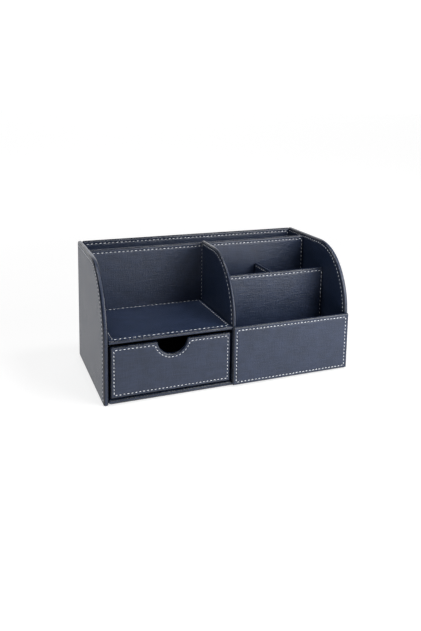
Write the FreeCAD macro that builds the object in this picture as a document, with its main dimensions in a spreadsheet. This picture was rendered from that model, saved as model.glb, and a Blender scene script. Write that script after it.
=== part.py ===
import FreeCAD, Part
import math
import os
import re
import Sketcher
from FreeCAD import Vector

# Desk organizer of boards wrapped in sewn leather cloth: a letter slot along the back, an open
# shelf over a drawer on the left, and a front pocket with two small bins behind it on the right.
# Millimetres. +X right, +Y back, +Z up. The origin is the middle of the footprint, on the desk.

# ---------------------------------------------------------------- driving sizes

SIZES = (
    ("CaseWidth", 301.5, "outside width"),
    ("CaseDepth", 148, "depth of the side panels, without the front panel"),
    ("CaseHeight", 148.9, "height of the side panels, which stand on the desk"),
    ("UpperArc", 60, "radius of the upper part of the sides' swept edge"),
    ("LowerArc", 92, "radius of the lower part of the swept edge"),
    ("UpperTurn", 49, "degrees that the upper part turns through"),
    ("Board", 3, "core board of a panel"),
    ("SideBoard", 4.2, "core board of a side"),
    ("ShelfBoard", 2.5, "core board of the shelf"),
    ("BaseBoard", 3.4, "core board of the base"),
    ("FrontBoard", 2, "core board of the front panel"),
    ("Leather", 0.75, "leather cloth on every face and edge"),
    ("EdgeRound", 0.7, "rounding of a wrapped edge"),
    ("SlotWidth", 35.5, "clear width of the letter slot, front to back"),
    ("SlotDrop", 2.6, "slot panel's top edge below the sides' top"),
    ("BayWidth", 142.5, "clear width of the shelf and of the drawer's bay under it"),
    ("ShelfHeight", 71.5, "shelf's upper face above the desk"),
    ("FrontHeight", 69.2, "height of the front panel"),
    ("FrontLift", 0.8, "front panel's lower edge above the base's underside"),
    ("FrontInset", 1, "front panel's right edge in from the case's side"),
    ("PocketDepth", 52.1, "clear depth of the front pocket"),
    ("TallHeight", 114.8, "tall divider's top above the desk"),
    ("CrossDrop", 1, "cross divider's top below the tall divider's top"),
    ("LeftBinWidth", 70.5, "clear width of the left rear bin"),
    ("GapLeft", 2.2, "drawer front to the left side"),
    ("GapRight", 2.4, "drawer front to the centre divider"),
    ("GapTop", 2.7, "drawer front to the shelf"),
    ("GapBase", 1.3, "drawer front to the base"),
    ("GapRear", 3.5, "drawer box to the slot panel"),
    ("RunGap", 0.3, "drawer floor to the base that it slides on"),
    ("DrawerProud", 0.3, "drawer face in front of the case edges"),
    ("DrawerBoard", 2.5, "walls and floor of the drawer box"),
    ("BoxInset", 0.4, "drawer box inside the drawer front, at each end"),
    ("BoxDrop", 4, "drawer box walls below the top of the drawer front"),
    ("NotchRadius", 17.2, "finger notch in the drawer front"),
    ("NotchDepth", 15.6, "finger notch below the drawer front's top edge"),
    ("FeltThick", 1, "felt under the base, level with the sides' feet"),
    ("FeltInset", 3, "felt in from the sides and from the edges of the base"),
    ("LinerThick", 0.8, "felt floor liner of a bin, slot or drawer"),
    ("LinerGap", 0.5, "liner to the walls round it"),
)

doc = FreeCAD.newDocument("desk_organizer")
sheet = doc.addObject("Spreadsheet::Sheet", "Sizes")
for row, (alias, value, meaning) in enumerate(SIZES, start=1):
    sheet.set(f"A{row}", meaning)
    sheet.set(f"B{row}", str(value))
    sheet.setAlias(f"B{row}", alias)
doc.recompute()

# Sizes and places that follow from the sheet, each as an expression in its aliases.
DERIVED = {
    "panel": "Board + 2 * Leather",
    "side_thick": "SideBoard + 2 * Leather",
    "shelf_thick": "ShelfBoard + 2 * Leather",
    "base_thick": "BaseBoard + 2 * Leather",
    "front_thick": "FrontBoard + 2 * Leather",
    # Left to right.
    "case_left": "-CaseWidth / 2",
    "case_right": "CaseWidth / 2",
    "inner_left": "case_left + side_thick",
    "inner_right": "case_right - side_thick",
    "divider_left": "inner_left + BayWidth",
    "divider_right": "divider_left + panel",
    "front_right": "case_right - FrontInset",
    "cross_left": "divider_right + LeftBinWidth",
    "cross_right": "cross_left + panel",
    # Front to back: front_y is the sides' front edge, and the front panel stands before it.
    "front_y": "(front_thick - CaseDepth) / 2",
    "back_y": "front_y + CaseDepth",
    "back_inner": "back_y - panel",
    "slot_back": "back_inner - SlotWidth",
    "slot_front": "slot_back - panel",
    "tall_front": "front_y + PocketDepth",
    "tall_back": "tall_front + panel",
    # Bottom to top, from the desk.
    "under": "FeltThick",
    "floor": "under + base_thick",
    "slot_top": "CaseHeight - SlotDrop",
    "shelf_under": "ShelfHeight - shelf_thick",
    "cross_top": "TallHeight - CrossDrop",
    # Drawer.
    "drawer_left": "inner_left + GapLeft",
    "drawer_right": "divider_left - GapRight",
    "drawer_low": "floor + GapBase",
    "drawer_high": "shelf_under - GapTop",
    "drawer_face": "front_y - DrawerProud",
    "box_left": "drawer_left + BoxInset",
    "box_right": "drawer_right - BoxInset",
    "box_front": "drawer_face + panel",
    "box_back": "slot_front - GapRear",
    "box_under": "floor + RunGap",
    "box_floor": "box_under + DrawerBoard",
    "box_top": "drawer_high - BoxDrop",
}


def expand(text):
    """Write derived names out in full, and each alias as the sheet's."""
    def word(match):
        name = match.group(0)
        return f"({expand(DERIVED[name])})" if name in DERIVED else f"{sheet.Name}.{name}"
    return re.sub(r"[A-Za-z_]\w*", word, text)


def bind(thing, **properties):
    """Bind properties to expressions; a double underscore stands for the dot of a path."""
    for name, text in properties.items():
        thing.setExpression(name.replace("__", "."), expand(text))


def place(thing, x, y, z):
    bind(thing, Placement__Base__x=x, Placement__Base__y=y, Placement__Base__z=z)


# ---------------------------------------------------------------- outlines in a sketch

# Each outline function draws a closed loop whose lower left corner is on the sketch's origin.
# inset is how far the loop lies inside the panel's own outline, so that its arcs stay parallel.

def number_of(text):
    """Work an expression out now, for the shape that the sketch's solver starts from."""
    return float(sheet.evalExpression(expand(text)))


def size(sketch, name, text, *where):
    """Add a dimension of a given name and bind its value."""
    kind, *points = where
    index = sketch.addConstraint(Sketcher.Constraint(kind, *points, number_of(text)))
    sketch.renameConstraint(index, name)
    bind(sketch, **{f"Constraints__{name}": text})


def line(sketch, start, end):
    """Add a level or upright line; return its number and those of its start and end."""
    number = sketch.addGeometry(Part.LineSegment(Vector(*start, 0), Vector(*end, 0)))
    way = "Horizontal" if start[1] == end[1] else "Vertical"
    sketch.addConstraint(Sketcher.Constraint(way, number))
    return number, 1, 2


def arc(sketch, centre, radius, start, end):
    """Add an arc from one angle to another, anticlockwise; return numbers as line does."""
    circle = Part.Circle(Vector(*centre, 0), Vector(0, 0, 1), radius)
    return sketch.addGeometry(Part.ArcOfCircle(circle, start, end)), 1, 2


def close_loop(sketch, edges, smooth=()):
    """Join each edge's end to the next one's start, tangent after the edges listed in smooth."""
    for edge, following in zip(edges, edges[1:] + edges[:1]):
        kind = "Tangent" if edge in smooth else "Coincident"
        sketch.addConstraint(Sketcher.Constraint(kind, edge[0], edge[2], following[0], following[1]))
    sketch.addConstraint(Sketcher.Constraint("Coincident", edges[0][0], edges[0][1], -1, 1))


def plain_outline(sketch, wide, high, inset):
    """A rectangle."""
    w, h = number_of(wide), number_of(high)
    bottom = line(sketch, (0, 0), (w, 0))
    right = line(sketch, (w, 0), (w, h))
    close_loop(sketch, [bottom, right, line(sketch, (w, h), (0, h)), line(sketch, (0, h), (0, 0))])
    size(sketch, "wide", wide, "DistanceX", bottom[0], 1, bottom[0], 2)
    size(sketch, "high", high, "DistanceY", right[0], 1, right[0], 2)


def swept_outline(sketch, wide, high, inset):
    """A side seen from its left: a level top, two tangent arcs, an upright front edge."""
    w, h = number_of(wide), number_of(high)
    upper, lower = number_of(f"UpperArc - {inset}"), number_of(f"LowerArc - {inset}")
    crown, turned = math.pi / 2, math.pi / 2 + math.radians(number_of("UpperTurn"))
    meeting = Vector(math.cos(turned), math.sin(turned), 0)
    low = Vector(lower, h - upper - (lower - upper) * meeting.y, 0)
    top = low + meeting * (lower - upper)
    bottom = line(sketch, (0, 0), (w, 0))
    rear = line(sketch, (w, 0), (w, h))
    ridge = line(sketch, (w, h), (top.x, h))
    upper_edge = arc(sketch, (top.x, top.y), upper, crown, turned)
    lower_edge = arc(sketch, (low.x, low.y), lower, turned, math.pi)
    front = line(sketch, (0, low.y), (0, 0))
    edges = [bottom, rear, ridge, upper_edge, lower_edge, front]
    close_loop(sketch, edges, smooth=(ridge, upper_edge, lower_edge))
    size(sketch, "wide", wide, "DistanceX", bottom[0], 1, bottom[0], 2)
    size(sketch, "high", high, "DistanceY", rear[0], 1, rear[0], 2)
    size(sketch, "upper", f"UpperArc - {inset}", "Radius", upper_edge[0])
    size(sketch, "lower", f"LowerArc - {inset}", "Radius", lower_edge[0])
    index = sketch.addConstraint(Sketcher.Constraint("Angle", upper_edge[0], turned - crown))
    sketch.renameConstraint(index, "turn")
    bind(sketch, Constraints__turn="UpperTurn")


def notched_outline(sketch, wide, high, inset):
    """A rectangle with a round notch in the middle of its top edge."""
    w, h = number_of(wide), number_of(high)
    radius = f"NotchRadius + {inset}"
    middle, centre = f"({wide}) / 2", f"({high}) + NotchRadius - NotchDepth"
    if inset != "0":
        centre = f"{centre} + {inset}"
    r, x, y = number_of(radius), number_of(middle), number_of(centre)
    rise = math.asin((y - h) / r)
    reach = r * math.cos(rise)
    bottom = line(sketch, (0, 0), (w, 0))
    right = line(sketch, (w, 0), (w, h))
    top_right = line(sketch, (w, h), (x + reach, h))
    number, start, end = arc(sketch, (x, y), r, math.pi + rise, 2 * math.pi - rise)
    top_left = line(sketch, (x - reach, h), (0, h))
    left = line(sketch, (0, h), (0, 0))
    close_loop(sketch, [bottom, right, top_right, (number, end, start), top_left, left])
    size(sketch, "wide", wide, "DistanceX", bottom[0], 1, bottom[0], 2)
    size(sketch, "high", high, "DistanceY", right[0], 1, right[0], 2)
    size(sketch, "scoop", radius, "Radius", number)
    size(sketch, "middle", middle, "DistanceX", -1, 1, number, 3)
    size(sketch, "centre", centre, "DistanceY", -1, 1, number, 3)


# ---------------------------------------------------------------- bodies

parts = []

# A plane's thickness axis, and whether the plane's own normal points against that axis.
PLANES = {"XY_Plane": ("z", False), "XZ_Plane": ("y", True), "YZ_Plane": ("x", False)}


def new_body(name, x, y, z):
    body = doc.addObject("PartDesign::Body", name)
    body.Label = name
    place(body, x, y, z)
    parts.append(body)
    return body


def new_sketch(body, name, role):
    sketch = body.newObject("Sketcher::SketchObject", name)
    plane = next(plane for plane in body.Origin.OriginFeatures if plane.Role == role)
    sketch.AttachmentSupport = [(plane, "")]
    sketch.MapMode = "FlatFace"
    return sketch


def pad(body, sketch, role, thick):
    """Pad the sketch along its thickness axis, towards plus."""
    feature = body.newObject("PartDesign::Pad", f"{body.Name}_pad")
    feature.Profile = sketch
    feature.Reversed = PLANES[role][1]
    bind(feature, Length=thick)
    sketch.Visibility = False
    doc.recompute()
    return feature


def slab(name, role, outline, spot, wide, high, thick, inset):
    """One flat piece: an outline padded to a thickness, its corner at spot."""
    body = new_body(name, *spot)
    sketch = new_sketch(body, f"{name}_outline", role)
    outline(sketch, wide, high, inset)
    pad(body, sketch, role, thick)
    return body


def rim_edges(shape, axis):
    """Names of the edges that lie in the two large faces."""
    def flat(edge):
        return getattr(edge.BoundBox, f"{axis.upper()}Length") < 0.001
    return [f"Edge{number}" for number, edge in enumerate(shape.Edges, start=1) if flat(edge)]


def wrap(name, role, outline, spot, wide, high, thick, open_far):
    """The leather round a board: a tray, rounded along its rims and open on its facing's side."""
    axis, against = PLANES[role]
    body = slab(name, role, outline, spot, wide, high, thick, "0")
    solid = body.Tip
    rounded = body.newObject("PartDesign::Fillet", f"{name}_rims")
    rounded.Base = (solid, rim_edges(solid.Shape, axis))
    bind(rounded, Radius="EdgeRound")
    sketch = new_sketch(body, f"{name}_hollow_outline", role)
    outline(sketch, f"{wide} - 2 * Leather", f"{high} - 2 * Leather", "Leather")
    level = f"{'-' if against else ''}({thick})" if open_far else "0 * Leather"
    bind(sketch, AttachmentOffset__Base__x="Leather", AttachmentOffset__Base__y="Leather",
         AttachmentOffset__Base__z=level)
    hollow = body.newObject("PartDesign::Pocket", f"{name}_hollow")
    hollow.Profile = sketch
    hollow.Reversed = against == open_far
    bind(hollow, Length=f"{thick} - Leather")
    sketch.Visibility = False
    doc.recompute()
    removed = rounded.Shape.Volume - hollow.Shape.Volume
    if not removed > solid.Shape.Volume / 2:
        raise RuntimeError(f"{name}: the hollow for the board was not cut")


def panel(name, role, outline, spot, wide, high, board, open_far):
    """A panel of three pieces: leather wrap, board, and the facing that closes the wrap.

    spot is its corner at the lowest x, y and z; wide and high run along the sketch's axes;
    open_far says that the facing is on the far side along the thickness axis.
    """
    axis = PLANES[role][0]
    wrap(f"{name}_wrap", role, outline, spot, wide, high, f"({board}) + 2 * Leather", open_far)

    def inner(depth):
        """The inset corner, at a depth into the panel."""
        return [f"{corner} + {depth if letter == axis else 'Leather'}"
                for letter, corner in zip("xyz", spot)]

    inset_size = (f"{wide} - 2 * Leather", f"{high} - 2 * Leather")
    slab(f"{name}_board", role, outline, inner("Leather"), *inset_size, board, "Leather")
    facing_depth = f"{board} + Leather" if open_far else "0"
    slab(f"{name}_facing", role, outline, inner(facing_depth), *inset_size, "Leather", "Leather")


def block(name, low, high):
    """A plain rectangular piece between two corners."""
    box = doc.addObject("Part::Box", name)
    box.Label = name
    place(box, *low)
    spans = [f"({upper}) - ({lower})" for lower, upper in zip(low, high)]
    bind(box, Length=spans[0], Width=spans[1], Height=spans[2])
    parts.append(box)
    return box


def liner(name, left, front, right, back, level):
    """A felt sheet on a floor, clear of the walls round it."""
    low = (f"{left} + LinerGap", f"{front} + LinerGap", level)
    block(name, low, (f"{right} - LinerGap", f"{back} - LinerGap", f"{level} + LinerThick"))


# ---------------------------------------------------------------- case

def case():
    side = ("YZ_Plane", swept_outline)
    panel("left_side", *side, ("case_left", "front_y", "0"),
          "CaseDepth", "CaseHeight", "SideBoard", open_far=True)
    panel("right_side", *side, ("inner_right", "front_y", "0"),
          "CaseDepth", "CaseHeight", "SideBoard", open_far=False)
    panel("centre_divider", *side, ("divider_left", "front_y", "floor"),
          "slot_front - front_y", "CaseHeight - floor", "Board", open_far=True)
    panel("cross_divider", "YZ_Plane", plain_outline, ("cross_left", "tall_back", "floor"),
          "slot_front - tall_back", "cross_top - floor", "Board", open_far=True)

    upright = ("XZ_Plane", plain_outline)
    panel("back_panel", *upright, ("inner_left", "back_inner", "under"),
          "inner_right - inner_left", "CaseHeight - under", "Board", open_far=False)
    panel("slot_panel", *upright, ("inner_left", "slot_front", "floor"),
          "inner_right - inner_left", "slot_top - floor", "Board", open_far=True)
    panel("tall_divider", *upright, ("divider_right", "tall_front", "floor"),
          "inner_right - divider_right", "TallHeight - floor", "Board", open_far=True)
    panel("front_panel", *upright, ("divider_left", "front_y - front_thick", "under + FrontLift"),
          "front_right - divider_left", "FrontHeight", "FrontBoard", open_far=True)

    level = ("XY_Plane", plain_outline)
    panel("base", *level, ("inner_left", "front_y", "under"),
          "inner_right - inner_left", "back_inner - front_y", "BaseBoard", open_far=False)
    panel("shelf", *level, ("inner_left", "front_y", "shelf_under"),
          "BayWidth", "slot_front - front_y", "ShelfBoard", open_far=False)


def linings():
    """Felt under the base, and on the floor of the slot, the front pocket and both rear bins."""
    block("underside_felt", ("inner_left + FeltInset", "front_y + FeltInset", "0"),
          ("inner_right - FeltInset", "back_y - FeltInset", "FeltThick"))
    liner("letter_slot_liner", "inner_left", "slot_back", "inner_right", "back_inner", "floor")
    liner("front_pocket_liner", "divider_right", "front_y", "inner_right", "tall_front", "floor")
    liner("left_bin_liner", "divider_right", "tall_back", "cross_left", "slot_front", "floor")
    liner("right_bin_liner", "cross_right", "tall_back", "inner_right", "slot_front", "floor")


# ---------------------------------------------------------------- drawer

def drawer():
    """A wrapped front with a finger notch, and an open box glued behind it."""
    panel("drawer_front", "XZ_Plane", notched_outline, ("drawer_left", "drawer_face", "drawer_low"),
          "drawer_right - drawer_left", "drawer_high - drawer_low", "Board", open_far=True)
    block("drawer_floor", ("box_left", "box_front", "box_under"), ("box_right", "box_back", "box_floor"))
    wall = "DrawerBoard"
    block("drawer_left_wall", ("box_left", "box_front", "box_floor"),
          (f"box_left + {wall}", "box_back", "box_top"))
    block("drawer_right_wall", (f"box_right - {wall}", "box_front", "box_floor"),
          ("box_right", "box_back", "box_top"))
    block("drawer_back_wall", (f"box_left + {wall}", f"box_back - {wall}", "box_floor"),
          (f"box_right - {wall}", "box_back", "box_top"))
    liner("drawer_liner", f"box_left + {wall}", "box_front", f"box_right - {wall}",
          f"box_back - {wall}", "box_floor")


# ---------------------------------------------------------------- check and write

def check(thing):
    """Stop on a failed feature or a piece that is not one valid solid."""
    if any(word in thing.State for word in ("Invalid", "Error")):
        raise RuntimeError(f"{thing.Name}: {thing.State}")
    if thing in parts and (thing.Shape.isNull() or not thing.Shape.isValid()):
        raise RuntimeError(f"{thing.Label}: its shape is null or not valid")
    if thing in parts and len(thing.Shape.Solids) != 1:
        raise RuntimeError(f"{thing.Label}: {len(thing.Shape.Solids)} solids")


case()
linings()
drawer()
doc.recompute()
for thing in doc.Objects:
    check(thing)
os.makedirs("parts", exist_ok=True)
for piece in parts:
    piece.Shape.exportStep(f"parts/{piece.Label}.step")
print(len(parts), "pieces written")
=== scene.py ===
from collections import namedtuple
from itertools import groupby
from math import atan2, cos, pi, radians, sin, sqrt

import bpy
import numpy as np
from mathutils import Matrix, Vector


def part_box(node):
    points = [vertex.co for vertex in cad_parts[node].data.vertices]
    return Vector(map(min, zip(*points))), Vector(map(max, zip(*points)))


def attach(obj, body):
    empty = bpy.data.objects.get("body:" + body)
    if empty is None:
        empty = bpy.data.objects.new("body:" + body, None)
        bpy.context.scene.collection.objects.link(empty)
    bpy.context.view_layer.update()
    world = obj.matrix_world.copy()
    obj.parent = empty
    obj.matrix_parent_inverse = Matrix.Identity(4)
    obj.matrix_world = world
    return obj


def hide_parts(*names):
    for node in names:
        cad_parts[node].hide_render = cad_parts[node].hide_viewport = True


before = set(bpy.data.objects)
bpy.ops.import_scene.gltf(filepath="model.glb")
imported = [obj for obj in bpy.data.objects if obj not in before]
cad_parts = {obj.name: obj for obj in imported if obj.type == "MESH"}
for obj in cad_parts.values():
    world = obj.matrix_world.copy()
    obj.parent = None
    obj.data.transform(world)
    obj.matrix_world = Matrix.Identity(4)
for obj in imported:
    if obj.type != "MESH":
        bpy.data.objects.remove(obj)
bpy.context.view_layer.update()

# Desk organizer: boards wrapped in navy leather cloth and sewn round their borders. The boards
# inside are the frame's own nodes; the leather, thread, paper and felt are made here.
# Lengths are millimetres, and MM turns them into the scene's metres.

MM = 0.001

# ---------------------------------------------------------------- sizes

UPPER_ARC, LOWER_ARC = 60, 92        # the two radii of the sides' swept edge
UPPER_TURN = radians(49)             # turn of the upper one
NOTCH_RADIUS, NOTCH_DEPTH = 17.2, 15.6

RIM = 0.47                           # rounding of a panel's edge, as a share of its thickness
RIM_MOST = 2.2                       # the most that it takes
RIM_LIMIT = 0.55                     # the most of the way in to the seam that it takes
CORNER = 1.3                         # rounding of a panel's outline at its corners
TIGHTEST = 0.3                       # smallest corner of an inner ring
SETTLE = 0.12                        # face inside the seam, pressed below the padded border
INNER = 3                            # width of the slope down to that face

SEAM = 3.5                           # usual distance from edge to seam
GROOVE_HALF = 0.9                    # half the width of the groove that the seam pulls in
GROOVE_DEPTH = 0.3                   # under the middle of a stitch
HOLE_DEPTH = 0.35                    # further down at each needle hole
HOLE_TIGHT = 6                       # power of cosine that narrows the hole along the seam

COLUMNS = 8                          # mesh columns along each stitch
THREAD = 0.8                         # diameter
THREAD_SHOWN = 0.61                  # share of a stitch that shows above the leather
THREAD_SINK = 0.27                   # centre of a stitch below the panel's face
THREAD_DIP = 0.5                     # its ends, further down into the holes
THREAD_SLANT = radians(9)            # turn of a stitch from the line of its seam
SLANT_SPREAD = radians(1.5)          # how far the slants differ, as a standard deviation
LENGTH_SPREAD = 0.03                 # and the lengths, as a share
THREAD_TAPER = 0.9                   # how much a stitch thins at its ends
THREAD_RINGS, THREAD_SIDES = 7, 6
TWIST = 1.1                          # length of one turn of the thread's strands
STRANDS = 3

BOARD_RIM = 0.5                      # rounding of the paper-covered drawer boards
BOARD_TIGHTEST = 0.1                 # smallest corner of their inner rings
FELT_CELL = 2.5                      # mesh cell of a felt sheet
FELT_RIM = 0.3                       # how far in from its edge a felt sheet is rounded down
FELT_DROP = 1 / 3                    # how far down, as a share of its thickness
FELT_WAVE = 0.1                      # unevenness of its upper face
WAVE_X, WAVE_Y, WAVE_SKEW = 7.3, 9.1, 23    # lengths of the sines that make it uneven

# The materials' patterns: the size of a feature, and the depth that it is pressed in.
CLOUD = 14                           # cloudiness of the leather's colour
SMOOTHED, SMOOTHED_DEPTH = 28, 0.4   # waves left by smoothing the leather down
WEAVE, WEAVE_DEPTH = 1.3, 0.11       # backing threads that show through it
WEAVE_DRAWN = 0.1                    # their width, as a share of their length
WEAVE_LEVEL = 2                      # strength of the level threads, beside the upright ones
WEAVE_SHADE = 0.6                    # strength of the threads in its colour, beside the cloud
SHADE_LEAST, SHADE_MOST = 1, 1.8     # sum of threads and cloud, where it is darkest and palest
GRAIN, GRAIN_DEPTH = 0.9, 0.15       # embossed pebbles, coarser than real ones so that they show
STRAND_DEPTH = 0.08                  # grooves between the strands of the thread
FELT_FIBRE, FELT_DEPTH = 0.7, 0.2
PAPER_FIBRE, PAPER_DEPTH = 1.2, 0.04
WOOD_FIBRE = 1.5
BEND_PAINTED_SHADE = 0.35                   # painted shade: share of the leather's colour left where it bends over an edge
BEND_ROUGHNESS = -0.18               # added to its roughness there
WAVE_TEXTURE_TURN = 2 * pi / 20      # length after which Blender's wave texture repeats

random = np.random.default_rng(5)


# ---------------------------------------------------------------- materials

def srgb(code):
    """A colour's linear red, green, blue and alpha, from its sRGB hex code."""
    levels = [int(code[start:start + 2], 16) / 255 for start in (1, 3, 5)]
    return [level / 12.92 if level <= 0.04045 else ((level + 0.055) / 1.055) ** 2.4
            for level in levels] + [1]


def per_metre(length):
    """The texture scale whose features are about so many millimetres long."""
    return 1 / (length * MM)


def add(tree, kind, inputs=None, **settings):
    """Add a shader node: its properties, and for each input a value or the socket feeding it."""
    made = tree.nodes.new(f"ShaderNode{kind}")
    for key, value in settings.items():
        setattr(made, key, value)
    for socket, value in (inputs or {}).items():
        if isinstance(value, bpy.types.NodeSocket):
            tree.links.new(value, made.inputs[socket])
        else:
            made.inputs[socket].default_value = value
    return made


def new_material(name, **constants):
    """A material whose surface has these constant sockets; return it, its tree and its surface."""
    material = bpy.data.materials.new(name)
    material.use_nodes = True
    surface = material.node_tree.nodes["Principled BSDF"]
    for socket, value in constants.items():
        surface.inputs[socket.replace("_", " ")].default_value = value
    return material, material.node_tree, surface


def vary(tree, surface, mask, colours, roughness):
    """Let a mask run the surface between two colours and two roughnesses; return their sockets."""
    ramp = add(tree, "ValToRGB", {"Fac": mask})
    for stop, colour in zip(ramp.color_ramp.elements, colours):
        stop.color = srgb(colour)
    gloss = add(tree, "MapRange", {"Value": mask, "To Min": roughness[0], "To Max": roughness[1]})
    tree.links.new(ramp.outputs["Color"], surface.inputs["Base Color"])
    tree.links.new(gloss.outputs["Result"], surface.inputs["Roughness"])
    return ramp.outputs["Color"], gloss.outputs["Result"]


def press(tree, height, depth, below=None):
    """Press a pattern of heights in to a depth, over any pattern below it; return the normal."""
    inputs = {"Height": height, "Distance": depth * MM, "Strength": 1}
    if below is not None:
        inputs["Normal"] = below
    return add(tree, "Bump", inputs).outputs["Normal"]


def leather_cloth():
    """Leather cloth: polyurethane cast on cotton, embossed, lacquered matt and glued to board.

    To the eye, a deep even navy under a broad soft sheen that the grain breaks up,
    with slow waves where the cloth was smoothed down by hand. Where it bends over a board's
    edge the stretched lacquer is glossier, and its colour there is darkened as painted shade.
    """
    material, tree, surface = new_material("navy_leather_cloth", IOR=1.49)
    place = add(tree, "TexCoord").outputs["Object"]
    cloud = add(tree, "TexNoise", {"Vector": place, "Scale": per_metre(CLOUD), "Detail": 3})
    level = streaks(tree, place, (WEAVE_DRAWN, 1, 1))
    upright = streaks(tree, place, (1, 1, WEAVE_DRAWN))
    crossed = add(tree, "Math", {0: level, 1: WEAVE_LEVEL, 2: upright},
                  operation="MULTIPLY_ADD").outputs["Value"]
    mottle = add(tree, "Math", {0: crossed, 1: WEAVE_SHADE, 2: cloud.outputs["Fac"]},
                 operation="MULTIPLY_ADD")
    mask = add(tree, "MapRange", {"Value": mottle.outputs["Value"],
                                  "From Min": SHADE_LEAST, "From Max": SHADE_MOST})
    colour, gloss = vary(tree, surface, mask.outputs["Result"],
                         colours=("#1A2539", "#27324A"), roughness=(0.34, 0.42))

    # Painted shade: where the leather bends over an edge, its colour is darkened by the bend share
    # and its roughness is lowered.
    bend = add(tree, "Attribute", attribute_name="bend").outputs["Fac"]
    shade = add(tree, "MapRange", {"Value": bend, "To Min": 1, "To Max": BEND_PAINTED_SHADE})
    painted_shade_colour = add(tree, "VectorMath", {0: colour, 3: shade.outputs["Result"]}, operation="SCALE")
    glossier = add(tree, "Math", {0: bend, 1: BEND_ROUGHNESS, 2: gloss}, operation="MULTIPLY_ADD")
    tree.links.new(painted_shade_colour.outputs["Vector"], surface.inputs["Base Color"])
    tree.links.new(glossier.outputs["Value"], surface.inputs["Roughness"])

    waves = add(tree, "TexNoise", {"Vector": place, "Scale": per_metre(SMOOTHED), "Detail": 2})
    grain = add(tree, "TexVoronoi", {"Vector": place, "Scale": per_metre(GRAIN)})
    smoothed = press(tree, waves.outputs["Fac"], SMOOTHED_DEPTH)
    woven = press(tree, crossed, WEAVE_DEPTH, smoothed)
    embossed = press(tree, grain.outputs["Distance"], GRAIN_DEPTH, woven)
    tree.links.new(embossed, surface.inputs["Normal"])
    return material


def streaks(tree, place, shrink):
    """Noise drawn out along the axis that is shrunk, like the threads of a cloth."""
    drawn = add(tree, "VectorMath", {0: place, 1: shrink}, operation="MULTIPLY")
    noise = add(tree, "TexNoise", {"Vector": drawn.outputs["Vector"], "Scale": per_metre(WEAVE),
                                   "Detail": 2})
    return noise.outputs["Fac"]


def sewing_thread():
    """Bonded polyester thread of three strands: off-white, with a faint gloss on the twist."""
    material, tree, surface = new_material("bonded_polyester_thread", IOR=1.55)
    turns = add(tree, "UVMap", uv_map="twist").outputs["UV"]
    phase = add(tree, "VectorMath", {0: turns, 3: WAVE_TEXTURE_TURN}, operation="SCALE")
    strands = add(tree, "TexWave", {"Vector": phase.outputs["Vector"], "Scale": 1},
                  bands_direction="DIAGONAL").outputs["Fac"]
    vary(tree, surface, strands, colours=("#D0D4DA", "#F4F6F9"), roughness=(0.65, 0.5))
    tree.links.new(press(tree, strands, STRAND_DEPTH), surface.inputs["Normal"])
    return material


def felt():
    """Pressed wool felt, dyed near black: no gloss, a soft fuzz of crossed fibres."""
    material, tree, surface = new_material("pressed_felt", IOR=1.4, Sheen_Weight=0.25)
    place = add(tree, "TexCoord").outputs["Object"]
    fibres = add(tree, "TexNoise", {"Vector": place, "Scale": per_metre(FELT_FIBRE), "Detail": 6,
                                    "Distortion": 1.5}).outputs["Fac"]
    vary(tree, surface, fibres, colours=("#0E1118", "#232936"), roughness=(0.9, 1))
    tree.links.new(press(tree, fibres, FELT_DEPTH), surface.inputs["Normal"])
    return material


def covering_paper():
    """Black book-cloth paper pasted on board: matt, with a faint laid texture."""
    material, tree, surface = new_material("black_covering_paper", IOR=1.45)
    place = add(tree, "TexCoord").outputs["Object"]
    fibres = add(tree, "TexNoise", {"Vector": place, "Scale": per_metre(PAPER_FIBRE),
                                    "Detail": 6}).outputs["Fac"]
    vary(tree, surface, fibres, colours=("#101216", "#1D2027"), roughness=(0.7, 0.85))
    tree.links.new(press(tree, fibres, PAPER_DEPTH), surface.inputs["Normal"])
    return material


def fibreboard():
    """Medium-density fibreboard: brown, matt, flecked with pressed wood fibre."""
    material, tree, surface = new_material("fibreboard", IOR=1.5)
    place = add(tree, "TexCoord").outputs["Object"]
    fibres = add(tree, "TexNoise", {"Vector": place, "Scale": per_metre(WOOD_FIBRE), "Detail": 8})
    vary(tree, surface, fibres.outputs["Fac"],
         colours=("#8A6B49", "#B0906A"), roughness=(0.75, 0.9))
    return material


MATERIALS = {
    "navy_leather": leather_cloth(),
    "sewing_thread": sewing_thread(),
    "liner_felt": felt(),
    "underside_felt": felt(),
    "drawer_paper": covering_paper(),
    "core_board": fibreboard(),
}


# ---------------------------------------------------------------- outlines

# A panel's outline goes anticlockwise in its own plane, as stretches in the order of travel.
# Points are complex numbers, real part along the panel's width and imaginary part up its
# height. A stretch has its length, a function from a share of the way to the point there, and
# the number of the side that it belongs to, or None for a rounded corner.

Stretch = namedtuple("Stretch", "length at side")


def straight(start, end, side):
    """The start plus a share of the way to the end."""
    return Stretch(abs(end - start), lambda share: start + (end - start) * share, side)


def arc(centre, radius, start, end, side=None):
    """The centre plus the radius at an angle that runs from start to end."""
    turned = end - start
    return Stretch(radius * abs(turned),
                   lambda share: centre + radius * np.exp(1j * (start + turned * share)), side)


def turn(point, radius, quarter):
    """A right-angled corner rounded by a quarter circle; quarters count from the lower right."""
    centre = point - radius * (1 - 1j) * 1j ** quarter
    return arc(centre, radius, (quarter - 1) * pi / 2, quarter * pi / 2)


def rectangle(wide, high, insets, radius):
    """Four sides: bottom, right, top and left."""
    bottom, right, top, left = insets
    points = (wide - right + 1j * bottom, wide - right + 1j * (high - top),
              left + 1j * (high - top), left + 1j * bottom)
    turns = [turn(point, radius, quarter) for quarter, point in enumerate(points)]
    sides = [straight(turns[side - 1].at(1), turns[side].at(0), side) for side in range(4)]
    return [stretch for pair in zip(sides, turns) for stretch in pair]


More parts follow.
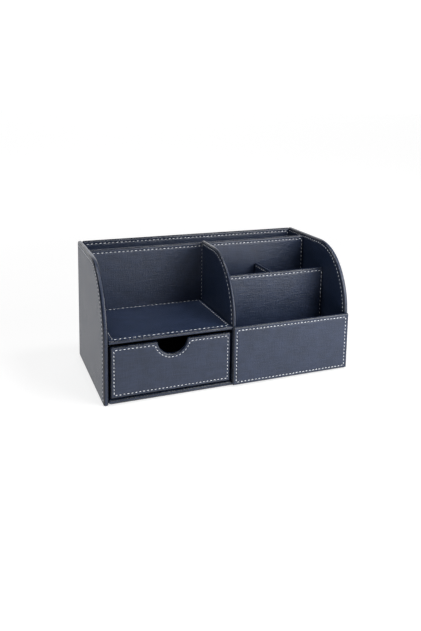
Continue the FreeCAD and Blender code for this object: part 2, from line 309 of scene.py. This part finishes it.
def swept(wide, high, insets, radius):
    """Three sides: bottom, rear, and a ridge that runs down two tangent arcs to the front."""
    bottom, rear, edge = insets
    turned = pi / 2 + UPPER_TURN
    lean = np.exp(1j * turned) * (LOWER_ARC - UPPER_ARC)
    lower_centre = LOWER_ARC + 1j * (high - UPPER_ARC - lean.imag)
    upper_centre = lower_centre + lean
    low_rear = turn(wide - rear + 1j * bottom, radius, 0)
    high_rear = turn(wide - rear + 1j * (high - edge), radius, 1)
    low_front = turn(edge + 1j * bottom, radius, 3)
    return [
        straight(low_front.at(1), low_rear.at(0), 0), low_rear,
        straight(low_rear.at(1), high_rear.at(0), 1), high_rear,
        straight(high_rear.at(1), upper_centre.real + 1j * (high - edge), 2),
        arc(upper_centre, UPPER_ARC - edge, pi / 2, turned, 2),
        arc(lower_centre, LOWER_ARC - edge, turned, pi, 2),
        straight(edge + 1j * lower_centre.imag, low_front.at(0), 2), low_front,
    ]


def notched(wide, high, insets, radius):
    """A rectangle with a round notch in its top: the sides as there, the notch part of the top."""
    bottom, right, top, left = insets
    centre = wide / 2 + 1j * (high + NOTCH_RADIUS - NOTCH_DEPTH)
    scoop = NOTCH_RADIUS + top
    drop = centre.imag - (high - top - radius)
    reach = sqrt((scoop + radius) ** 2 - drop ** 2)
    lean = atan2(drop, -reach)
    low_right, high_right, high_left, low_left = [
        stretch for stretch in rectangle(wide, high, insets, radius) if stretch.side is None]
    into = arc(centre + reach - 1j * drop, radius, pi / 2, lean)
    out_of = arc(centre - reach - 1j * drop, radius, pi - lean, pi / 2)
    return [
        straight(low_left.at(1), low_right.at(0), 0), low_right,
        straight(low_right.at(1), high_right.at(0), 1), high_right,
        straight(high_right.at(1), into.at(0), 2), into,
        arc(centre, scoop, lean - pi, -lean, 2), out_of,
        straight(out_of.at(1), high_left.at(0), 2), high_left,
        straight(high_left.at(1), low_left.at(0), 3), low_left,
    ]


def places_on(outline, shares):
    """Places along the whole outline, from the shares along each of its stretches."""
    return np.concatenate([stretch.at(share) for stretch, share in zip(outline, shares)])


# ---------------------------------------------------------------- mesh making

def make_piece(name, points, faces, body, slot, replaces=()):
    """One closed piece from points in millimetres, riding a body, in its slot's material.

    Only its many-sided end faces are shaded flat.
    """
    mesh = bpy.data.meshes.new(name)
    mesh.from_pydata((np.reshape(points, (-1, 3)) * MM).tolist(), [], faces)
    corners = np.zeros(len(mesh.polygons), int)
    mesh.polygons.foreach_get("loop_total", corners)
    mesh.polygons.foreach_set("use_smooth", corners <= 4)
    mesh.materials.append(MATERIALS[slot])
    piece = bpy.data.objects.new(name, mesh)
    bpy.context.scene.collection.objects.link(piece)
    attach(piece, body)
    if replaces:
        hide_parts(*replaces)
    return piece


def ring_faces(rings, columns):
    """Quads between neighbouring rings, and one many-sided face over each end ring."""
    ring, column = np.meshgrid(np.arange(rings - 1), np.arange(columns), indexing="ij")
    here, after = ring * columns, (column + 1) % columns
    quads = np.stack([here + column, here + after, here + columns + after,
                      here + columns + column], axis=-1).reshape(-1, 4)
    first, last = np.arange(columns)[::-1], np.arange(columns) + (rings - 1) * columns
    return quads.tolist() + [first.tolist(), last.tolist()]


class Plate:
    """A flat node's box with its own axes: across and up its large face, and through it."""

    def __init__(self, node):
        low, high = (np.array(corner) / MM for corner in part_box(node))
        spans = high - low
        self.low = low
        self.through = int(np.argmin(spans))
        self.across, self.up = (axis for axis in range(3) if axis != self.through)
        self.wide, self.high, self.thick = spans[[self.across, self.up, self.through]]
        self.mirrored = self.through == 1

    def point(self, flat, depth):
        """Row-frame points from places in the plane (complex) and depths from the low face."""
        made = np.zeros(np.broadcast(flat, depth).shape + (3,))
        made[..., self.across] = np.real(flat) + self.low[self.across]
        made[..., self.up] = np.imag(flat) + self.low[self.up]
        made[..., self.through] = depth + self.low[self.through]
        return made

    def both_faces(self, rings, depths):
        """Rings of points from the low face's middle out to the edge and in on the high face."""
        return np.concatenate([self.point(rings, depths),
                               self.point(rings, self.thick - depths)[::-1]])

    def faces(self, rings, columns):
        """The ring faces, turned so that they point outwards on this plate."""
        made = ring_faces(rings, columns)
        return [face[::-1] for face in made] if self.mirrored else made


# ---------------------------------------------------------------- wrapped panels

RIM_ANGLES = np.radians([90, 67.5, 45, 22.5, 0])
GROOVE_STEPS = np.array([1, 0.5, 0, -0.5, -1])


def section_of(rim):
    """Half of a wrapped panel's section, from the face's middle out to its edge.

    Its rows are inset, depth below the face, share of the seam's groove, and share of the
    leather's bend. The groove is a squared cosine across, and the edge is a quarter circle of
    radius rim, most bent at its middle.
    """
    border = (SEAM - GROOVE_HALF + rim) / 2
    return np.array(
        [(SEAM + INNER, SETTLE, 0, 0)]
        + [(SEAM + GROOVE_HALF * step, 0, cos(pi / 2 * step) ** 2, 0) for step in GROOVE_STEPS]
        + [(border, 0, 0, 0)]
        + [(rim * (1 - cos(angle)), rim * (1 - sin(angle)), 0, sin(2 * angle))
           for angle in RIM_ANGLES])


def insets_at(inset, seams, rim):
    """Each side's inset for the section's, so that every seam lies where it is sewn."""
    made = []
    for seam in seams:
        distance = rim + TIGHTEST if seam is None else seam
        rounded = rim if seam is None else min(rim, RIM_LIMIT * seam)
        slope = TIGHTEST if seam is None else INNER
        made.append(np.interp(inset, (0, rim, SEAM, SEAM + INNER),
                              (0, rounded, distance, distance + slope)))
    return made


def columns_of(outline, seams, stitch):
    """Where the mesh columns stand.

    Returns the shares along each stretch, each column's phase within its stitch, whether it is
    sewn (1 or 0), and the columns at the middles of the stitches. Along a side the columns are
    evenly spaced, a whole number of stitches from corner to corner.
    """
    shares, phases, sewn, middles = [], [], [], []
    for side, group in groupby(outline, key=lambda stretch: stretch.side):
        group = list(group)
        if side is None:
            shares.append(np.arange(1, COLUMNS) / COLUMNS)
            phases.append(np.zeros(COLUMNS - 1))
            sewn.append(None)
            continue
        lengths = np.array([stretch.length for stretch in group])
        ends = np.cumsum(lengths)
        count = max(1, round(ends[-1] / stitch)) * COLUMNS
        along = np.linspace(0, ends[-1], count + 1)
        owner = np.searchsorted(ends[:-1], along, side="right")
        starts = ends - lengths
        shares += [(along[owner == k] - starts[k]) / lengths[k] for k in range(len(group))]
        if seams[side]:
            middles.append(sum(map(len, phases)) + np.arange(COLUMNS // 2, count, COLUMNS))
        phases.append(np.arange(count + 1) % COLUMNS / COLUMNS)
        sewn.append(1.0 if seams[side] else 0.0)
    flags = [min(sewn[k - 1], sewn[(k + 1) % len(sewn)]) if flag is None else flag
             for k, flag in enumerate(sewn)]
    sewn = np.repeat(flags, [len(phase) for phase in phases])
    middles = np.concatenate(middles) if middles else np.zeros(0, int)
    return shares, np.concatenate(phases), sewn, middles


def leather_panel(name, body, shape, stitch, seams, sewn_above):
    """The leather round one panel, and the stitches through it.

    The surface is a ring of columns along the outline for each row of the section: first the
    low face from its middle outwards, then the high face inwards. A ring's place is the outline
    inset by the row's inset. Its depth is the row's, plus the groove's share times its depth:
    the groove's own and the needle hole's, which falls off as a high power of the cosine of
    pi times the phase within the stitch.
    """
    plate = Plate(f"{name}_wrap")
    rim = min(RIM * plate.thick, RIM_MOST)
    section = section_of(rim)
    seam_row = list(section[:, 0]).index(SEAM)

    def ring(inset):
        insets = insets_at(inset, seams, rim)
        return shape(plate.wide, plate.high, insets, max(CORNER - inset, TIGHTEST))

    shares, phases, sewn, middles = columns_of(ring(SEAM), seams, stitch)
    rings = np.array([places_on(ring(row[0]), shares) for row in section])
    seam = rings[seam_row]
    sewn = sewn * (seam.imag > sewn_above)
    middles = middles[seam.imag[middles] > sewn_above]
    groove = GROOVE_DEPTH + HOLE_DEPTH * np.cos(pi * phases) ** HOLE_TIGHT
    depths = section[:, 1:2] + section[:, 2:3] * groove * sewn
    points = plate.both_faces(rings, depths)
    piece = make_piece(name, points, plate.faces(*points.shape[:2]), body, "navy_leather",
                       (f"{name}_wrap", f"{name}_facing"))
    # The bend share lowers the leather's roughness and darkens its colour at the edges as painted
    # shade.
    bends = np.repeat(np.append(section[:, 3], section[::-1, 3]), points.shape[1])
    piece.data.attributes.new("bend", "FLOAT", "POINT").data.foreach_set("value", bends)
    if len(middles):
        sew(name, body, plate, seam, middles)


def sew(name, body, plate, seam, middles):
    """The stitches of one panel, on both of its faces.

    Each stitch is a thread bent down at its ends: along it, s runs from -1 to 1, the centre
    sinks by the dip times s to the fourth, and the radius shrinks as the fourth root of 1 less
    the taper times s to the eighth.
    """
    span = np.roll(seam, -COLUMNS // 2)[middles] - np.roll(seam, COLUMNS // 2)[middles]
    slants = THREAD_SLANT + random.normal(0, SLANT_SPREAD, len(span))
    lengths = THREAD_SHOWN * random.normal(1, LENGTH_SPREAD, len(span))
    half = lengths / 2 * span * np.exp(1j * slants)
    threads = []
    for level, outward in ((THREAD_SINK, -1), (plate.thick - THREAD_SINK, 1)):
        middle = plate.point(seam[middles], level)
        reach = plate.point(seam[middles] + half, level) - middle
        rise = np.zeros(3)
        rise[plate.through] = outward
        threads.append((middle, reach, np.broadcast_to(rise, middle.shape)))
    middle, reach, rise = (np.concatenate(group)[:, None, None, :] for group in zip(*threads))
    side = np.cross(reach, rise)
    side /= np.linalg.norm(side, axis=-1, keepdims=True)

    s = np.linspace(-1, 1, THREAD_RINGS)[None, :, None, None]
    angle = (2 * pi * np.arange(THREAD_SIDES) / THREAD_SIDES)[None, None, :, None]
    radius = THREAD / 2 * (1 - THREAD_TAPER * s ** 8) ** 0.25
    points = (middle + reach * s + side * radius * np.cos(angle)
              + rise * (radius * np.sin(angle) - THREAD_DIP * s ** 4))
    one = ring_faces(THREAD_RINGS, THREAD_SIDES)
    shift = THREAD_RINGS * THREAD_SIDES
    faces = [[corner + shift * number for corner in face[::-1]]
             for number in range(len(points)) for face in one]
    piece = make_piece(f"{name}_stitches", points, faces, body, "sewing_thread")
    lay_twist(piece, np.linalg.norm(reach[:, 0, 0], axis=-1))


def lay_twist(piece, halves):
    """Map the thread's strands: turns along each stitch, and strands round it, both whole."""
    corner = np.zeros(len(piece.data.loops), int)
    piece.data.loops.foreach_get("vertex_index", corner)
    starts = np.zeros(len(piece.data.polygons), int)
    piece.data.polygons.foreach_get("loop_start", starts)
    first = corner[np.repeat(starts, np.diff(np.append(starts, len(corner))))]
    round_it = corner % THREAD_SIDES
    behind = (round_it == 0) & (first % THREAD_SIDES != 0)
    number, ring = np.divmod(corner // THREAD_SIDES, THREAD_RINGS)
    turns = halves[number] * np.linspace(-1, 1, THREAD_RINGS)[ring] / TWIST
    strands = STRANDS * (round_it + THREAD_SIDES * behind) / THREAD_SIDES
    twist = piece.data.uv_layers.new(name="twist")
    twist.uv.foreach_set("vector", np.stack([turns, strands], axis=-1).astype(np.float32).ravel())


# ---------------------------------------------------------------- boards and felt

CORNER_SHARES, SIDE_SHARES = np.array([0.33, 0.67]), np.array([0.0, 1.0])


def paper_board(name):
    """A drawer board under its paper: rings round its edge, each rim a quarter circle."""
    plate = Plate(name)
    rings, depths = [], []
    for turned in RIM_ANGLES:
        inset = BOARD_RIM * (1 - cos(turned))
        radius = max(BOARD_RIM - inset, BOARD_TIGHTEST)
        outline = rectangle(plate.wide, plate.high, [inset] * 4, radius)
        shares = [CORNER_SHARES if stretch.side is None else SIDE_SHARES for stretch in outline]
        rings.append(places_on(outline, shares))
        depths.append(BOARD_RIM * (1 - sin(turned)))
    rings, depths = np.array(rings), np.array(depths)[:, None]
    points = plate.both_faces(rings, depths)
    make_piece(name, points, plate.faces(*points.shape[:2]), "drawer", "drawer_paper", (name,))


def felt_sheet(node, piece_name, body, slot):
    """A felt sheet: a grid over its floor, rounded down at the edges, its upper face uneven.

    The upper face is the thickness less a wave, a product of sines of unrelated lengths, and
    less a rounding that falls off within a short way of the edge. The under face is flat.
    """
    low, high = (np.array(corner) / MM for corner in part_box(node))
    wide, deep, thick = high - low
    x = np.linspace(0, wide, max(2, round(wide / FELT_CELL)))
    y = np.linspace(0, deep, max(2, round(deep / FELT_CELL)))
    x = np.sort(np.append(x, (FELT_RIM, wide - FELT_RIM)))[:, None]
    y = np.sort(np.append(y, (FELT_RIM, deep - FELT_RIM)))[None, :]
    edge = np.minimum(np.minimum(x, wide - x), np.minimum(y, deep - y))
    rounding = thick * FELT_DROP * np.clip(1 - edge / FELT_RIM, 0, 1)
    ripple = np.sin(x / WAVE_X + 1) * np.sin(y / WAVE_Y + x / WAVE_SKEW)
    wave = FELT_WAVE * (1 + ripple) / 2
    top = np.stack(np.broadcast_arrays(x, y, thick - rounding - wave), axis=-1) + low
    under = np.stack(np.broadcast_arrays(x, y, 0 * (x + y)), axis=-1) + low
    faces = grid_shell_faces(*top.shape[:2])
    piece = make_piece(piece_name, np.stack([top, under]), faces, body, slot, (node,))


def grid_shell_faces(count_x, count_y):
    """Quads of an upper grid, of the same grid under it facing down, and of the edge between."""
    index = np.arange(count_x * count_y).reshape(count_x, count_y)
    top = np.stack([index[:-1, :-1], index[1:, :-1], index[1:, 1:], index[:-1, 1:]], -1)
    top = top.reshape(-1, 4)
    rim = np.concatenate([index[:-1, 0], index[-1, :-1], index[:0:-1, -1], index[0, :0:-1]])
    after = np.roll(rim, -1)
    under = index.size
    edge = np.stack([rim + under, after + under, after, rim], -1)
    return np.concatenate([top, top[:, ::-1] + under, edge]).tolist()


# ---------------------------------------------------------------- studio

# The camera, from its pitch, yaw and roll, its place, and its focal length in image pixels.
IMAGE_HIGH = 631                     # rows of the image
PITCH, YAW, ROLL = 0.15463, 0.37864, -0.01650
EYE = Vector((-278.519, -690.567, 321.407)) * MM
FOCAL = 624.678
LENS_ROW = 200                       # row of the image that the lens axis meets
SENSOR = 36                          # long side of the sensor

# The studio's soft light by direction. Each glow has the azimuth (0 is the front, 90 the right)
# and elevation of its middle, the angles from there where it starts to fade and where it has
# gone, all in degrees, and its strength. The first two are a white sweep at the back.
GLOWS = (
    (150, 8, 10, 35, 1.05),
    (180, 8, 10, 35, 1.18),
    (30, 8, 10, 35, 0.21),
    (0, 45, 15, 45, 0.25),
)

# The lamps that look at the object: azimuth and elevation in degrees, distance, width and height
# in metres, and power in watts.
SOFTBOXES = {
    "key_softbox": (40, 15, 0.7, 0.5, 0.4, 2.7),
    "fill_softbox": (35, 30, 0.7, 0.5, 0.4, 2.4),
    "overhead_softbox": (270, 75, 1.5, 0.7, 0.7, 12.2),
    "edge_softbox": (67, 67, 1.2, 0.25, 0.25, 3),
}
LAMP_TARGET = Vector((0, 0, 60)) * MM

# The table is lit from below, less near the object than away from it. In metres:
TABLE_REACH = 20                     # from its middle to its edges
NEAR, FAR = 0.3, 1.5                 # where the light starts to rise, and where it is full
NEAR_LIGHT, FAR_LIGHT = 0.66, 0.9    # its strength up to there, and from there on


def make_camera():
    """The camera, turned by its angles, its frame shifted to put the lens axis at its row."""
    forward = Vector((sin(YAW) * cos(PITCH), cos(YAW) * cos(PITCH), -sin(PITCH)))
    level = Vector((cos(YAW), -sin(YAW), 0))
    down = forward.cross(level)
    right = level * cos(ROLL) + down * sin(ROLL)
    below = down * cos(ROLL) - level * sin(ROLL)
    data = bpy.data.cameras.new("camera")
    data.sensor_width = SENSOR
    data.lens = FOCAL * SENSOR / IMAGE_HIGH
    data.shift_y = (LENS_ROW - IMAGE_HIGH / 2) / IMAGE_HIGH
    camera = bpy.data.objects.new("camera", data)
    turned = Matrix((right, -below, -forward)).transposed()
    camera.matrix_world = Matrix.Translation(EYE) @ turned.to_4x4()
    bpy.context.scene.collection.objects.link(camera)
    bpy.context.scene.camera = camera


def towards(azimuth, elevation):
    """The direction at an azimuth and an elevation in degrees."""
    a, e = radians(azimuth), radians(elevation)
    return Vector((sin(a) * cos(e), -cos(a) * cos(e), sin(e)))


def make_world():
    """A world lit by soft glows, each a smooth step of the angle from its middle."""
    world = bpy.data.worlds.new("studio")
    world.use_nodes = True
    bpy.context.scene.world = world
    bpy.context.scene.view_settings.view_transform = "Standard"
    tree = world.node_tree
    direction = add(tree, "TexCoord").outputs["Generated"]
    total = 0
    for azimuth, elevation, full, gone, strength in GLOWS:
        near = add(tree, "VectorMath", {0: direction, 1: towards(azimuth, elevation)},
                   operation="DOT_PRODUCT")
        glow = add(tree, "MapRange", {"Value": near.outputs["Value"],
                                      "From Min": cos(radians(gone)),
                                      "From Max": cos(radians(full)), "To Max": strength},
                   interpolation_type="SMOOTHSTEP")
        total = add(tree, "Math", {0: glow.outputs["Result"], 1: total}).outputs["Value"]
    background = tree.nodes["Background"]
    background.inputs["Color"].default_value = srgb("#FFFFFF")
    tree.links.new(total, background.inputs["Strength"])


def make_table():
    """White acrylic lit from below: to the eye, a plain pale floor with a faint soft shade."""
    material, tree, surface = new_material("lit_acrylic_table", Base_Color=srgb("#AAAAAA"),
                                           Roughness=0.9, Emission_Color=srgb("#FFFFFF"))
    place = add(tree, "TexCoord").outputs["Object"]
    away = add(tree, "VectorMath", {0: place}, operation="LENGTH")
    glow = add(tree, "MapRange", {"Value": away.outputs["Value"], "From Min": NEAR, "From Max": FAR,
                                  "To Min": NEAR_LIGHT, "To Max": FAR_LIGHT},
               interpolation_type="SMOOTHSTEP")
    tree.links.new(glow.outputs["Result"], surface.inputs["Emission Strength"])
    mesh = bpy.data.meshes.new("floor")
    corners = [(-1, -1, 0), (1, -1, 0), (1, 1, 0), (-1, 1, 0)]
    mesh.from_pydata((np.array(corners) * TABLE_REACH).tolist(), [], [(0, 1, 2, 3)])
    mesh.materials.append(material)
    floor = bpy.data.objects.new("floor", mesh)
    bpy.context.scene.collection.objects.link(floor)


def make_softbox(name, azimuth, elevation, distance, wide, high, power):
    """A lamp that looks at the object from an azimuth and an elevation."""
    away = towards(azimuth, elevation)
    data = bpy.data.lights.new(name, "AREA")
    data.shape, data.size, data.size_y, data.energy = "RECTANGLE", wide, high, power
    lamp = bpy.data.objects.new(name, data)
    lamp.matrix_world = (Matrix.Translation(LAMP_TARGET + away * distance)
                         @ away.to_track_quat("Z", "Y").to_matrix().to_4x4())
    bpy.context.scene.collection.objects.link(lamp)


# ---------------------------------------------------------------- assembly

# Each panel's body and outline, its stitch from needle hole to needle hole, the distance of the
# seam from each of its sides in the outline's order (None where a side isn't sewn), and the
# height on the panel above which it is sewn.
PANELS = {
    "left_side": ("case", swept, 4.7, (None, None, 5.0), 0),
    "right_side": ("case", swept, 4.8, (None, None, 4.0), 0),
    "centre_divider": ("case", swept, 4.8, (None, 1.6, 4.0), 64),
    "back_panel": ("case", rectangle, 5.4, (3.5, 3.0, 4.3, 3.0), 0),
    "slot_panel": ("case", rectangle, 5.2, (3.5, 2.7, 4.3, 2.7), 0),
    "tall_divider": ("case", rectangle, 5.3, (3.0, 2.0, 3.7, 2.0), 0),
    "cross_divider": ("case", rectangle, 5.3, (None, None, 3.3, None), 0),
    "front_panel": ("case", rectangle, 4.5, (3.6, 4.3, 4.0, 4.0), 0),
    "shelf": ("case", rectangle, 5.3, (5.5, 3.2, 0.9, 5.3), 0),
    "base": ("case", rectangle, 5, (None, None, None, None), 0),
    "drawer_front": ("drawer", notched, 4.3, (3.6, 3.5, 3.6, 3.4), 0),
}
DRAWER_BOARDS = ("drawer_floor", "drawer_left_wall", "drawer_right_wall", "drawer_back_wall")

make_camera()
make_world()
make_table()
for name, softbox in SOFTBOXES.items():
    make_softbox(name, *softbox)
for name, panel in PANELS.items():
    leather_panel(name, *panel)
for name in DRAWER_BOARDS:
    paper_board(name)
for name in ("letter_slot", "front_pocket", "left_bin", "right_bin"):
    felt_sheet(f"{name}_liner", f"{name}_felt", "case", "liner_felt")
felt_sheet("drawer_liner", "drawer_felt", "drawer", "liner_felt")
felt_sheet("underside_felt", "base_felt", "case", "underside_felt")
for name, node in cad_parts.items():
    if name.endswith("_board"):      # inside the panels
        node.data.materials.clear()
        node.data.materials.append(MATERIALS["core_board"])
